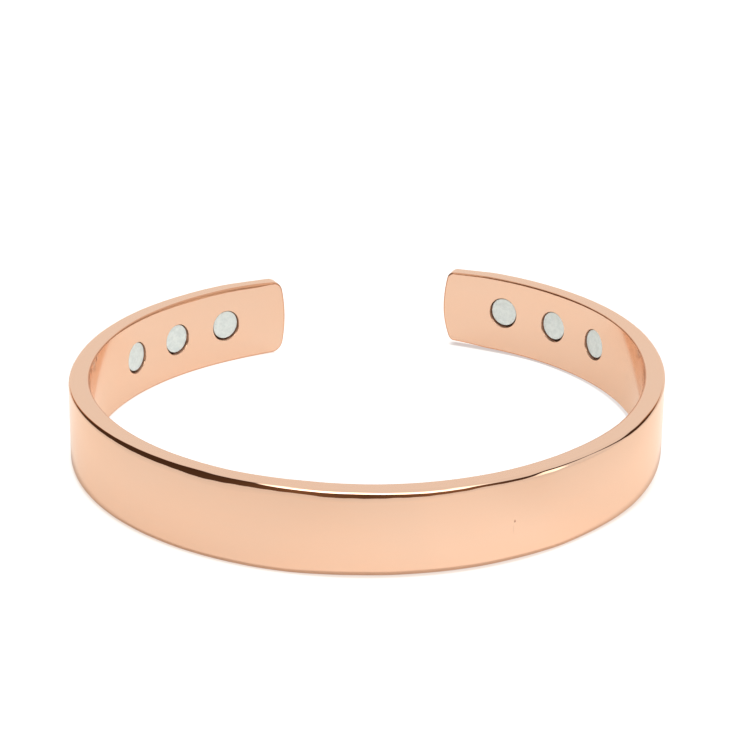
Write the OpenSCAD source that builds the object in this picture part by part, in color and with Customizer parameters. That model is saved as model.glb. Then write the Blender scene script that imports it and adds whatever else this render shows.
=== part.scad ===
// Open cuff bracelet bent from one flat copper bar, lying on its lower edge.
// Six disc magnets sit in blind pockets in its inner face, three near each end.
// The front is towards -Y, the gap between the ends is towards +Y, and Z is up.
// The origin is under the middle of the whole cuff, on the surface it lies on.

/* [Bar] */
// Height of the bar, from its lower edge to its upper edge
bar_h = 9; // [7.5:0.5:13]
// Thickness of the bar
bar_t = 2.2; // [2:0.1:3]
// Rounding of the bar's four long edges
edge_r = 0.4; // [0.2:0.05:0.6]

/* [Bends] */
// Outer radius of the bend across the front
front_r = 30.2; // [27:0.1:36]
// Outer radius of the bend at the right shoulder
right_shoulder_r = 39; // [32:0.1:44]
// Outer radius of the bend along the right side
right_side_r = 31.9; // [28:0.1:38]
// Outer radius of the bend behind the right end
right_end_r = 36.8; // [30:0.1:46]
// Outer radius of the bend at the left shoulder
left_shoulder_r = 32.3; // [29:0.1:40]
// Outer radius of the bend along the left side
left_side_r = 33.2; // [29:0.1:40]
// Outer radius of the bend behind the left end
left_end_r = 36.1; // [30:0.1:46]
// Angle from the middle of the front at which the front bend stops
front_to = 34; // [25:1:45]
// Angle at which the shoulder bends stop
shoulder_to = 86; // [75:1:100]
// Angle at which the side bends stop
side_to = 143; // [130:1:145]
// Angle at which the right end is cut off
right_end_to = 150.5; // [148:0.5:158]
// Angle at which the left end is cut off
left_end_to = 168; // [156:0.5:172]

/* [Ends] */
// How far the middle of an end stands out past its corners
end_bow_depth = 0.6; // [0.3:0.05:1]
// Rounding of the two corners of an end
end_corner_r = 0.9; // [0.6:0.1:1.8]

/* [Magnets] */
// Diameter of a magnet
magnet_d = 3.4; // [2.8:0.1:4.4]
// Thickness of a magnet
magnet_t = 1.1; // [0.8:0.05:1.2]
// Rounding of a magnet's two rims
magnet_rim_r = 0.12; // [0.05:0.01:0.25]
// Depth of a magnet's face below the inner face of the bar
magnet_recess = 0.15; // [0.1:0.05:0.5]
// Gap behind a magnet, for the glue that holds it
glue_gap = 0.05; // [0.03:0.01:0.1]
// Gap all round a magnet in its pocket, when it sits in the middle
pocket_play = 0.15; // [0.08:0.01:0.3]
// Gap left over a magnet, which was glued in against the top of its pocket
magnet_top_gap = 0.05; // [0.03:0.01:0.08]
// Distance along the inner face from an end to the first magnet
first_magnet_offset = 7.9; // [5.5:0.1:11]
// Distance along the inner face from one magnet to the next
magnet_pitch = 7.3; // [5.8:0.1:9]
// How far the right magnets lie above the middle of the bar
right_magnet_rise = 0.45; // [-0.6:0.05:0.6]
// How far the left magnets lie above the middle of the bar
left_magnet_rise = 0.1; // [-0.6:0.05:0.6]

/* [Hidden] */

COPPER = [0.93, 0.62, 0.47];
SILVER = [0.8, 0.83, 0.82];

// Fineness of the true curves, which also sets how smooth a preview looks
ROUND = 96;
// Fineness of the small roundings
SMALL_ROUND = 32;
// How far a cutter starts clear of the face that it cuts
CLEAR = 1;
// Parts of a millimetre that a long move is rounded to
THOUSAND = 1000;
// Overlap of two bends where they meet, in degrees
HAIR = 0.0000001;

// Each side is a row of bends from the front round to its end.
// Columns: the angle at which the bend stops, and its outer radius.
TO = 0;
R = 1;
right_bends = [
    [front_to, front_r],
    [shoulder_to, right_shoulder_r],
    [side_to, right_side_r],
    [right_end_to, right_end_r],
];
left_bends = [
    [front_to, front_r],
    [shoulder_to, left_shoulder_r],
    [side_to, left_side_r],
    [left_end_to, left_end_r],
];

// The two sides, and how many magnets each has
LEFT = -1;
RIGHT = 1;
PER_SIDE = 3;

pocket_d = magnet_d + 2 * pocket_play;
pocket_depth = magnet_recess + magnet_t + glue_gap;

function bends_of(hand) = hand == LEFT ? left_bends : right_bends;
function rise_of(hand) = hand == LEFT ? left_magnet_rise : right_magnet_rise;

// Direction that the outer face looks in at an angle round from the front
function outward(angle) = [sin(angle), -cos(angle)];

// Angle at which a bend begins
function from(bends, i) = i == 0 ? 0 : bends[i - 1][TO];

// Centre of a bend, such that each bend runs on smoothly from the one before
function centre(bends, i) =
    i == 0
    ? [0, bends[0][R]]
    : centre(bends, i - 1) + (bends[i - 1][R] - bends[i][R]) * outward(bends[i - 1][TO]);

// Number of the bend that an angle lies in
function bend_at(bends, angle, i = 0) =
    angle <= bends[i][TO] || i == len(bends) - 1 ? i : bend_at(bends, angle, i + 1);

// Point of the outer face at an angle round from the front
function outer_point(bends, angle) =
    let (i = bend_at(bends, angle))
    centre(bends, i) + bends[i][R] * outward(angle);

// Angle at a distance back along the inner face, starting from where bend i stops
function angle_back(bends, distance, i) =
    let (
        inner_r = bends[i][R] - bar_t,
        length = inner_r * (bends[i][TO] - from(bends, i)) * PI / 180
    )
    distance <= length || i == 0
    ? bends[i][TO] - distance / inner_r * 180 / PI
    : angle_back(bends, distance - length, i - 1);

// Angle of a magnet, counted from 1 at the one nearest the end
function magnet_angle(bends, count) =
    angle_back(bends, first_magnet_offset + (count - 1) * magnet_pitch, len(bends) - 1);

right_reach = outer_point(right_bends, 90)[0];
left_reach = outer_point(left_bends, 90)[0];
depth = max(outer_point(right_bends, right_end_to)[1], outer_point(left_bends, left_end_to)[1]);

// Moves what is drawn from the middle of the front to the shared frame
module in_frame() {
    translate([(left_reach - right_reach) / 2, -depth / 2, 0])
        children();
}

// Cross section of the bar, standing outside the Z axis at its bend's radius
module bar_section(outer_r) {
    translate([outer_r - bar_t, 0]) {
        translate([edge_r, 0])
            square([bar_t - 2 * edge_r, bar_h]);
        translate([0, edge_r])
            square([bar_t, bar_h - 2 * edge_r]);
        for (x = [edge_r, bar_t - edge_r], y = [edge_r, bar_h - edge_r])
            translate([x, y])
                circle(r = edge_r, $fn = SMALL_ROUND);
    }
}

// Moves by round thousandths and then by the tiny rest, so that bends meet without a hairline gap
module move_precisely(offset) {
    round_step = [for (v = offset) round(v * THOUSAND) / THOUSAND];
    translate(round_step)
        translate(offset - round_step)
            children();
}

// Stretch of bar round one bend, between two angles, which reaches a hair into its neighbours
module bend(middle, outer_r, start, stop) {
    move_precisely(middle)
        rotate_extrude(start = start - HAIR - 90, angle = stop - start + 2 * HAIR, $fn = ROUND)
            bar_section(outer_r);
}

// Core through the joint after bend i, well inside the bar, which makes the two bends one
module core(bends, i) {
    translate(outer_point(bends, bends[i][TO]))
        rotate(bends[i][TO])
            translate([0, bar_t / 2, bar_h / 2])
                cube([bar_t, bar_t / 2, bar_h / 2], center = true);
}

// Outline of a bar end seen square on: bowed, with rounded corners, reaching back.
// The bow runs into the corners smoothly, where it is bow_half from the bar's middle.
module end_outline(reach) {
    half = bar_h / 2;
    bow_r = (half * half + end_bow_depth * end_bow_depth) / (2 * end_bow_depth);
    corner_back = sqrt(pow(bow_r - end_corner_r, 2) - pow(half - end_corner_r, 2)) - bow_r;
    bow_half = (half - end_corner_r) * bow_r / (bow_r - end_corner_r);
    translate([0, half]) {
        intersection() {
            translate([-bow_r, 0])
                circle(r = bow_r, $fn = 4 * ROUND);
            translate([-reach, -bow_half])
                square([reach + CLEAR, 2 * bow_half]);
        }
        translate([-reach, -half])
            square([reach + corner_back, bar_h]);
        for (side = [-1, 1])
            translate([corner_back, side * (half - end_corner_r)])
                circle(r = end_corner_r, $fn = SMALL_ROUND);
    }
}

// One side of the bar, from the front bend round to its shaped end
module side(bends) {
    last = len(bends) - 1;
    for (i = [0 : last - 1])
        core(bends, i);
    for (i = [1 : last - 1])
        bend(centre(bends, i), bends[i][R], from(bends, i), bends[i][TO]);
    end_r = bends[last][R];
    intersection() {
        bend(centre(bends, last), end_r, from(bends, last), bends[last][TO]);
        translate(outer_point(bends, bends[last][TO]))
            rotate(bends[last][TO])
                rotate([90, 0, 0])
                    linear_extrude(height = 2 * end_r, center = true)
                        end_outline(end_r);
    }
}

// Draws the children on the right, or mirrored on the left
module on_hand(hand) {
    if (hand == LEFT)
        mirror([1, 0, 0])
            children();
    else
        children();
}

// Puts what is drawn along +X at a magnet's place on the inner face, pointing into the bar
module at_magnet(hand, count, rise) {
    bends = bends_of(hand);
    angle = magnet_angle(bends, count);
    i = bend_at(bends, angle);
    on_hand(hand)
        translate(centre(bends, i))
            rotate(angle - 90)
                translate([bends[i][R] - bar_t, 0, bar_h / 2 + rise])
                    children();
}

// Blind round pocket for one magnet
module pocket(hand, count) {
    at_magnet(hand, count, rise_of(hand))
        translate([-CLEAR, 0, 0])
            rotate([0, 90, 0])
                cylinder(h = CLEAR + pocket_depth, d = pocket_d, $fn = ROUND);
}

// Disc magnet with softly rounded rims, its face at the origin towards -X
module disc() {
    radius = magnet_d / 2;
    rotate([0, 90, 0])
        rotate_extrude($fn = ROUND) {
            square([radius - magnet_rim_r, magnet_t]);
            translate([0, magnet_rim_r])
                square([radius, magnet_t - 2 * magnet_rim_r]);
            for (y = [magnet_rim_r, magnet_t - magnet_rim_r])
                translate([radius - magnet_rim_r, y])
                    circle(r = magnet_rim_r, $fn = SMALL_ROUND);
        }
}

// One magnet, glued in against the top of its pocket
module magnet(hand, count) {
    color(SILVER)
        in_frame()
            at_magnet(hand, count, rise_of(hand) + pocket_play - magnet_top_gap)
                translate([magnet_recess, 0, 0])
                    disc();
}

// The bent bar with its six pockets
module cuff() {
    color(COPPER)
        in_frame()
            difference() {
                union() {
                    bend([0, front_r], front_r, -front_to, front_to);
                    for (hand = [LEFT, RIGHT])
                        on_hand(hand)
                            side(bends_of(hand));
                }
                for (hand = [LEFT, RIGHT], count = [1 : PER_SIDE])
                    pocket(hand, count);
            }
}

cuff();
for (count = [1 : PER_SIDE]) {
    magnet(LEFT, count);
    magnet(RIGHT, count);
}
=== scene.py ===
"""Magnetic bracelet: an open cuff bent from one copper bar, with six disc magnets set in its inner face.

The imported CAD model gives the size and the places. This script builds the finished surfaces: the bar
with its polished, uneven edges and its six pockets, and the grainy magnets. Then it sets up a white
table, the soft light round it and the camera.
"""
import logging
import math
from dataclasses import dataclass, field
from enum import Enum

import bpy
import numpy as np
from mathutils import Matrix, Vector


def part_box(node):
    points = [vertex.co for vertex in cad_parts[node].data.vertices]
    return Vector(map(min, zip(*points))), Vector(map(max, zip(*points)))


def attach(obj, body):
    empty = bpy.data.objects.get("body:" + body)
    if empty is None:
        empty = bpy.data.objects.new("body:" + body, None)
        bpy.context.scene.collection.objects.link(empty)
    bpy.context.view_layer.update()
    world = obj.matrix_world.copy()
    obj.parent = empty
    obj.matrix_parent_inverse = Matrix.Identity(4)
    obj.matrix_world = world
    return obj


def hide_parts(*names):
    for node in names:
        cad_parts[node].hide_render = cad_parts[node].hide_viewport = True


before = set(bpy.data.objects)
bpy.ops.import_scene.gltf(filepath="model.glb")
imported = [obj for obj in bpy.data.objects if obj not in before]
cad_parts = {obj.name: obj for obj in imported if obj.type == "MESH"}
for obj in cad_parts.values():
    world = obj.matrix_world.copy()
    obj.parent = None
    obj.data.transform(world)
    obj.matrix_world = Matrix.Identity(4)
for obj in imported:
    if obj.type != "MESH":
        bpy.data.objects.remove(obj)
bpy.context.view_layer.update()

Array = np.ndarray
Material = bpy.types.Material
Piece = bpy.types.Object
Colour = tuple[float, float, float]
# Where a soft run begins and ends, and the levels before and after it
Run = tuple[float, float, float, float]
# How many waves there are to a unit, how many finer layers, and how strong those are
Grain = tuple[float, float, float]
Rows = tuple[tuple[float, ...], ...]

MM = 0.001
FULL_TURN = 2 * math.pi
QUARTER_TURN = math.pi / 2
# In degrees, for the room's rows
RIGHT_ANGLE = 90.0
UP = np.array([0.0, 0.0, 1.0])
log = logging.getLogger("bracelet")


class Hand(Enum):
    """The two sides of the open cuff, as seen from the front."""

    LEFT = -1
    RIGHT = 1


class Face(Enum):
    """The two broad faces of the bar."""

    OUTER = -1
    INNER = 1


class Slot(Enum):
    """Material slots of the pieces' meshes."""

    MAIN = 0
    POCKET = 1


def smooth_step(value: Array, low: float = 0.0, high: float = 1.0) -> Array:
    """Rises softly from 0 to 1.

    Args:
        value: Where to read the rise.
        low: Value at which the rise begins.
        high: Value at which it is complete.

    Returns:
        The height of the rise at each value.
    """
    part = np.clip((np.asarray(value, float) - low) / (high - low), 0.0, 1.0)
    return part * part * (3.0 - 2.0 * part)


def unit(rows: Array) -> Array:
    """Brings each row to a length of 1."""
    return rows / np.linalg.norm(rows, axis=1, keepdims=True)


def read_rows(rows: Rows, at: Array) -> list[Array]:
    """Reads every later column of a list of rows between the values of its first column."""
    columns = np.array(rows).T
    return [np.interp(at, columns[0], column) for column in columns[1:]]


@dataclass
class BarPath:
    """The bent line of the bar's outer face, read by the length along it from the middle of the front.

    Lengths are in millimetres. They are positive on the right and negative on the left.
    Each bend is the angle at which it stops, in degrees, and its outer radius.
    Each row of uneven places is an angle round from the front, how far the bar's upper edge stands
    above its plain height there, how far its lower edge stands above the table, and how far the whole
    bar stands outward.
    """

    thickness: float = 2.2
    height: float = 9.0
    right_bends: Rows = ((34.0, 30.2), (86.0, 39.0), (143.0, 31.9), (150.5, 36.8))
    left_bends: Rows = ((34.0, 30.2), (86.0, 32.3), (143.0, 33.2), (168.0, 36.1))
    front_middle: tuple[float, float] = (-1.467, -32.558)
    uneven: Rows = (
        (-168.0, -0.14, 0.12, 0.0), (-162.0, -0.02, 0.03, 0.0), (-156.0, 0.06, 0.0, 0.0),
        (-130.0, 0.06, 0.0, 0.0), (-105.0, -0.08, 0.0, 0.0), (-80.0, 0.05, 0.0, 0.0),
        (-50.0, 0.10, 0.0, 0.0), (-38.0, 0.07, 0.0, 0.0), (-22.0, 0.14, 0.0, 0.0), (-8.0, 0.05, 0.0, 0.0),
        (26.0, 0.07, 0.0, 0.0), (36.0, 0.02, 0.0, 0.03), (44.0, 0.0, 0.0, 0.18), (50.0, -0.02, 0.0, 0.24),
        (56.0, -0.02, 0.0, 0.19), (66.0, -0.06, 0.0, 0.07), (85.0, 0.0, 0.0, 0.0), (105.0, 0.13, 0.0, 0.0),
        (141.0, 0.11, 0.0, 0.0), (150.5, -0.08, 0.36, 0.0),
    )
    easing: float = 4.0
    step: float = 0.05
    spare: float = 3.0
    table_stride: int = 4
    reach: dict[Hand, float] = field(init=False)
    length: Array = field(init=False)
    turn: Array = field(init=False)
    curve: Array = field(init=False)
    x: Array = field(init=False)
    y: Array = field(init=False)

    def __post_init__(self) -> None:
        """Bends the line once, from the front out to both ends."""
        right_stops, right_curves = self._side(self.right_bends)
        left_stops, left_curves = self._side(self.left_bends)
        self.reach = {Hand.RIGHT: right_stops[-1], Hand.LEFT: left_stops[-1]}
        first, last = (math.ceil((self.reach[hand] + self.spare) / self.step) for hand in Hand)
        self.length = np.arange(-first, last + 1) * self.step
        plain = np.where(
            self.length >= 0,
            right_curves[np.searchsorted(right_stops[:-1], self.length)],
            left_curves[np.searchsorted(left_stops[:-1], -self.length)],
        )
        width = int(self.easing / self.step) | 1
        padded = np.pad(plain, width // 2, mode="edge")
        self.curve = np.convolve(padded, np.ones(width) / width, mode="valid")
        self.turn = self._sum_up(self.curve, first)
        self.x = self.front_middle[0] + self._sum_up(np.cos(self.turn), first)
        self.y = self.front_middle[1] + self._sum_up(np.sin(self.turn), first)

    @staticmethod
    def _side(bends: Rows) -> tuple[Array, Array]:
        """Turns bends that stop at angles into the lengths at which they stop, and their curvatures."""
        stops, radii = np.array(bends).T
        return np.cumsum(radii * np.radians(np.diff(stops, prepend=0.0))), 1.0 / radii

    def _sum_up(self, slope: Array, zero: int) -> Array:
        """Adds up a slope along the line, from 0 at the middle of the front."""
        steps = (slope[1:] + slope[:-1]) / 2 * self.step
        total = np.concatenate([[0.0], np.cumsum(steps)])
        return total - total[zero]

    def angle(self, length: Array) -> Array:
        """Angle turned from the middle of the front, in degrees."""
        return np.degrees(np.interp(length, self.length, self.turn))

    def end_of(self, length: Array) -> Array:
        """Length at which the side of each point ends."""
        return np.where(length >= 0, self.reach[Hand.RIGHT], self.reach[Hand.LEFT])

    def directions(self, length: Array | float) -> tuple[Array, Array]:
        """Directions along the bar and outward from it, at each length."""
        turn = np.interp(length, self.length, self.turn)
        level = np.zeros_like(turn)
        along = np.stack([np.cos(turn), np.sin(turn), level], -1)
        return along, np.stack([np.sin(turn), -np.cos(turn), level], -1)

    def bend(self, straight: Array, normals: Array) -> tuple[Array, Array]:
        """Bends points of the straight bar round the wrist.

        Args:
            straight: Rows of length along the bar, height, and depth below the outer face.
            normals: The surface normals of the straight bar there, in the same directions.

        Returns:
            The bent points and their unit normals.
        """
        length, height, depth = straight.T
        along, outward = self.directions(length)
        lower, stretch, bulge = self._unevenness(length)
        x, y = (np.interp(length, self.length, line) for line in (self.x, self.y))
        points = np.stack([x, y, lower + stretch * height], 1) + (bulge - depth)[:, None] * outward
        squeeze = 1.0 - depth * np.interp(length, self.length, self.curve)
        bent = (normals[:, :1] / squeeze[:, None]) * along - normals[:, 2:3] * outward
        bent[:, 2] += normals[:, 1] / stretch
        return points, unit(bent)

    def _unevenness(self, length: Array) -> tuple[Array, Array, Array]:
        """Height of the lower edge, how much taller than plain the bar is, and how far it stands out."""
        upper, lower, bulge = read_rows(self.uneven, self.angle(length))
        return lower, 1.0 + (upper - lower) / self.height, bulge

    def plain_height(self, length: Array, height: Array | float) -> Array:
        """Height on the plain bar of points at real heights."""
        lower, stretch, _ = self._unevenness(length)
        return (height - lower) / stretch

    def nearest(self, place: Array) -> float:
        """Length along the bar at which a point inside the cuff lies square to it."""
        return float(self.length[np.argmin((self.x - place[0]) ** 2 + (self.y - place[1]) ** 2)])

    def beside(self, x: Array, y: Array) -> tuple[Array, Array]:
        """Places points of the table beside the bar.

        Args:
            x: Their places to the right.
            y: Their places towards the back.

        Returns:
            How far each lies outward from the bar's outer face, and how far past the end of its side.
        """
        line = np.stack([self.x, self.y, self.turn, self.length])[:, ::self.table_stride]
        near = np.argmin((x[:, None] - line[0]) ** 2 + (y[:, None] - line[1]) ** 2, axis=1)
        line_x, line_y, turn, length = line[:, near]
        outward = (x - line_x) * np.sin(turn) - (y - line_y) * np.cos(turn)
        return outward - self._unevenness(length)[2], np.abs(length) - self.end_of(length)


@dataclass
class Shell:
    """The surface of one piece while it is made, in millimetres.

    Each row of vertices holds a place, a normal, the place on the straight bar and the edge.
    Each row of faces holds four corners, the last of them -1 for a triangle, and the slot.
    """

    vertices: list[Array] = field(default_factory=list)
    faces: list[Array] = field(default_factory=list)
    count: int = 0

    def add(self, points: Array, normals: Array, straight: Array, edge: float | Array) -> Array:
        """Adds vertices.

        Args:
            points: Their places.
            normals: Their unit normals, out of the metal.
            straight: Their places on the straight bar, which the finishes read.
            edge: How much of an edge each is, from 0 on a flat to 1 on a bright rounding of the outside
            or -1 on a duller rounding of the inside, whose colour the copper darkens as painted shade.

        Returns:
            The numbers that the vertices have in the finished mesh.
        """
        numbers = np.arange(self.count, self.count + len(points))
        self.count += len(points)
        self.vertices.append(np.column_stack([points, normals, straight, np.broadcast_to(edge, len(points))]))
        return numbers

    def _cover(self, cells: Array, slot: Slot) -> None:
        """Adds faces with a material slot."""
        self.faces.append(np.column_stack([cells, np.full(len(cells), slot.value)]))

    def skin(self, grid: Array, slot: Slot, closed: bool = False, keep: Array | slice = slice(None)) -> None:
        """Covers a grid of vertices with four-sided faces.

        Args:
            grid: Vertex numbers in rows and columns.
            slot: Material slot of the faces.
            closed: Whether the last column runs on into the first.
            keep: Which cells are covered.
        """
        if closed:
            grid = np.concatenate([grid, grid[:, :1]], 1)
        cells = np.stack([grid[:-1, :-1], grid[:-1, 1:], grid[1:, 1:], grid[1:, :-1]], -1)
        self._cover(cells[keep].reshape(-1, 4), slot)

    def cap(self, ring: Array, middle: tuple[Array, Array, Array], edge: float, slot: Slot) -> None:
        """Closes a ring of vertices with three-sided faces.

        Args:
            ring: Vertex numbers round the ring.
            middle: Place, normal and place on the straight bar of the vertex in its middle.
            edge: How much of an edge that vertex is.
            slot: Material slot of the faces.
        """
        number = self.add(*(row[None] for row in middle), edge)[0]
        ends = (np.full_like(ring, number), np.full_like(ring, -1))
        self._cover(np.stack([ring, np.roll(ring, -1), *ends], -1), slot)

    def build(self, name: str, finishes: list[Material], node: str, slot: str) -> Piece:
        """Makes the mesh object, with every face turned outwards.

        Args:
            name: Name of the piece.
            finishes: Its materials, in the order of the slots.
            node: CAD node that it stands for.
            slot: Material slot of the record that it takes its finish from; not used.

        Returns:
            The object, in metres, with its place in its mesh, riding on the root body.
        """
        points, normals, straight, edge = np.split(np.concatenate(self.vertices), [3, 6, 9], axis=1)
        faces = np.concatenate(self.faces)
        first, second, third = (points[faces[:, k]] for k in (0, 1, 2))
        facing = np.einsum("ij,ij->i", np.cross(second - first, third - first), normals[faces[:, 0]])
        listed = []
        for cell, turned in zip(faces[:, :4].tolist(), (facing < 0).tolist()):
            corners = cell if cell[3] >= 0 else cell[:3]
            listed.append(corners[::-1] if turned else corners)
        mesh = bpy.data.meshes.new(name)
        mesh.from_pydata((points * MM).tolist(), [], listed)
        mesh.polygons.foreach_set("use_smooth", np.ones(len(listed), bool))
        mesh.polygons.foreach_set("material_index", faces[:, 4].astype(np.int32))
        for finish in finishes:
            mesh.materials.append(finish)
        layer = mesh.attributes.new("straight", "FLOAT_VECTOR", "POINT")
        layer.data.foreach_set("vector", straight.astype(np.float32).ravel())
        add_numbers(mesh, "edge", edge.ravel())
        mesh.update()
        mesh.normals_split_custom_set_from_vertices(normals.tolist())
        piece = bpy.data.objects.new(name, mesh)
        bpy.context.scene.collection.objects.link(piece)
        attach(piece, "root")
        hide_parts(node)
        return piece


def add_numbers(mesh: bpy.types.Mesh, name: str, values: Array) -> None:
    """Keeps one number for each vertex of a mesh, under a name that a finish reads."""
    layer = mesh.attributes.new(name, "FLOAT", "POINT")
    layer.data.foreach_set("value", values.astype(np.float32))


class Value:
    """A number, a place or a colour that nodes work out everywhere on a surface."""

    def __init__(self, nodes: "Nodes", socket: bpy.types.NodeSocket) -> None:
        """Takes the socket that it comes out of."""
        self.nodes = nodes
        self.socket = socket

    def math(self, operation: str, *others: object) -> "Value":
        """Works out one sum that starts with this number."""
        return self.nodes.value("Math", dict(enumerate((self, *others))), operation=operation)

    def __add__(self, other: object) -> "Value":
        """Adds a number."""
        return self.math("ADD", other)

    def __sub__(self, other: object) -> "Value":
        """Takes away a number."""
        return self.math("SUBTRACT", other)

    def __mul__(self, other: object) -> "Value":
        """Multiplies by a number."""
        return self.math("MULTIPLY", other)

    def __truediv__(self, other: object) -> "Value":
        """Divides by a number."""
        return self.math("DIVIDE", other)

    def most(self, other: object) -> "Value":
        """The greater of two numbers."""
        return self.math("MAXIMUM", other)

    def below(self, other: object) -> "Value":
        """1 where this number is the lesser, and 0 elsewhere."""
        return self.math("LESS_THAN", other)

    def between(self, first: object, second: object) -> "Value":
        """Runs from the first number to the second as this one runs from 0 to 1."""
        return self.nodes.value("Mix", {0: self, 2: first, 3: second})

    def split(self) -> list["Value"]:
        """The three numbers of this place."""
        return [Value(self.nodes, out) for out in self.nodes.add("SeparateXYZ", {0: self}).outputs]

    def stretched(self, scale: tuple[float, float, float]) -> "Value":
        """This place, stretched by three factors."""
        return self.nodes.value("VectorMath", {0: self, 1: scale}, operation="MULTIPLY")

    def noise(self, scale: float, detail: float, roughness: float) -> "Value":
        """Soft random numbers round a half, read at this place.

        Args:
            scale: How many waves there are to a unit.
            detail: How many finer layers are added.
            roughness: How strong the finer layers are.

        Returns:
            The numbers.
        """
        inputs = {"Vector": self, "Scale": scale, "Detail": detail, "Roughness": roughness}
        return self.nodes.value("TexNoise", inputs)

    def rise(self, low: float, high: float, start: float = 0.0, stop: float = 1.0) -> "Value":
        """Runs softly from one level to another.

        Args:
            low: This number where the run begins.
            high: This number where the run is complete.
            start: Level before the run.
            stop: Level after it.

        Returns:
            The level.
        """
        inputs = {0: self, 1: low, 2: high, 3: start, 4: stop}
        return self.nodes.value("MapRange", inputs, interpolation_type="SMOOTHSTEP", clamp=True)

    def _along(self, stops: tuple[tuple, ...]) -> tuple["Value", list[float]]:
        """How far this number and each stop lie from the first stop to the last, from 0 to 1."""
        low, high = stops[0][0], stops[-1][0]
        part = self.nodes.value("MapRange", {0: self, 1: low, 2: high})
        return part, [(stop[0] - low) / (high - low) for stop in stops]

    def table(self, stops: Rows) -> "Value":
        """Reads a level between 0 and 1 off stops.

        Args:
            stops: Values of this number and their levels, in order.

        Returns:
            The level.
        """
        part, places = self._along(stops)
        node = self.nodes.add("FloatCurve", {"Value": part})
        points = node.mapping.curves[0].points
        knots = [(place, stop[1]) for place, stop in zip(places, stops)]
        points[0].location = knots[0]
        points[1].location = knots[-1]
        for knot in knots[1:-1]:
            points.new(*knot)
        for point in points:
            point.handle_type = "VECTOR"
        node.mapping.update()
        return Value(self.nodes, node.outputs[0])

    def ramp(self, stops: tuple[tuple[float, Colour], ...]) -> "Value":
        """Reads a colour off stops.

        Args:
            stops: Values of this number and their colours, in order.

        Returns:
            The colour.
        """
        part, places = self._along(stops)
        node = self.nodes.add("ValToRGB", {0: part})
        elements = node.color_ramp.elements
        while len(elements) < len(stops):
            elements.new(1.0)
        for element, place, stop in zip(elements, places, stops):
            element.position = place
            element.color = (*stop[1], 1.0)
        return Value(self.nodes, node.outputs[0])


class Nodes:
    """Adds nodes to one node tree and joins them up."""

    def __init__(self, tree: bpy.types.NodeTree) -> None:
        """Clears the tree."""
        self.tree = tree
        tree.nodes.clear()

    def add(self, kind: str, inputs: dict | None = None, **settings: object) -> bpy.types.Node:
        """Adds one node.

        Args:
            kind: Blender's name of the node without its leading ShaderNode.
            inputs: What its inputs are or are joined to, by name or number.
            settings: Its properties.

        Returns:
            The node.
        """
        node = self.tree.nodes.new("ShaderNode" + kind)
        for key, value in settings.items():
            setattr(node, key, value)
        for key, value in (inputs or {}).items():
            socket = node.inputs[key]
            if isinstance(value, Value):
                self.tree.links.new(value.socket, socket)
            else:
                socket.default_value = (*value, 1.0) if socket.type == "RGBA" else value
        return node

    def value(
        self, kind: str, inputs: dict | None = None, output: int | str = 0, **settings: object
    ) -> Value:
        """Adds one node, and returns what comes out of one of its outputs."""
        return Value(self, self.add(kind, inputs, **settings).outputs[output])

    def attribute(self, name: str, output: str = "Fac") -> Value:
        """Reads what the mesh keeps for each vertex under a name."""
        return self.value("Attribute", output=output, attribute_name=name)

    def mix(self, part: object, first: object, second: object, blend: str = "MIX") -> Value:
        """Mixes two colours.

        Args:
            part: How much of the second, or how strongly it is blended in.
            first: First colour.
            second: Second colour.
            blend: Way of blending.

        Returns:
            The mixed colour.
        """
        return self.value("Mix", {0: part, 6: first, 7: second}, 2, data_type="RGBA", blend_type=blend)

    def bump(self, height: Value, strength: float, depth: float, **below: Value) -> Value:
        """Lets a height stand out from the surface.

        Args:
            height: The height, from 0 to 1.
            strength: How strongly it shows.
            depth: What a height of 1 stands for, in metres.
            below: A bump under it, called Normal.

        Returns:
            The normal.
        """
        return self.value("Bump", {"Strength": strength, "Distance": depth, "Height": height, **below})

    def finish(self, kind: str, inputs: dict, output: str = "OutputMaterial") -> None:
        """Adds the last node and joins it to the output."""
        self.add(output, {0: self.value(kind, inputs)})


def start_material(name: str) -> tuple[Material, Nodes]:
    """Makes an empty material, and returns it with what adds its nodes."""
    material = bpy.data.materials.new(name)
    material.use_nodes = True
    return material, Nodes(material.node_tree)


@dataclass(frozen=True)
class Mark:
    """One small dark mark or painted reflection, in millimetres along, up and into the straight bar.

    It fades between two shares of its half size, and stays on the face that it lies on.
    """

    length: float
    height: float
    half_width: float
    half_height: float
    strength: float
    depth: float = 0.0
    fade: tuple[float, float] = (0.4, 1.1)
    clearance: float = 0.5

    def spot(self, place: Value) -> Value:
        """How much of the mark is at each place of the straight bar."""
        length, height, depth = place.split()
        across = (length - self.length) / self.half_width
        up = (height - self.height) / self.half_height
        away = (across * across + up * up).math("SQRT")
        off_face = (depth - self.depth).math("ABSOLUTE")
        return away.rise(*self.fade, self.strength, 0.0) * off_face.below(self.clearance)


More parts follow.
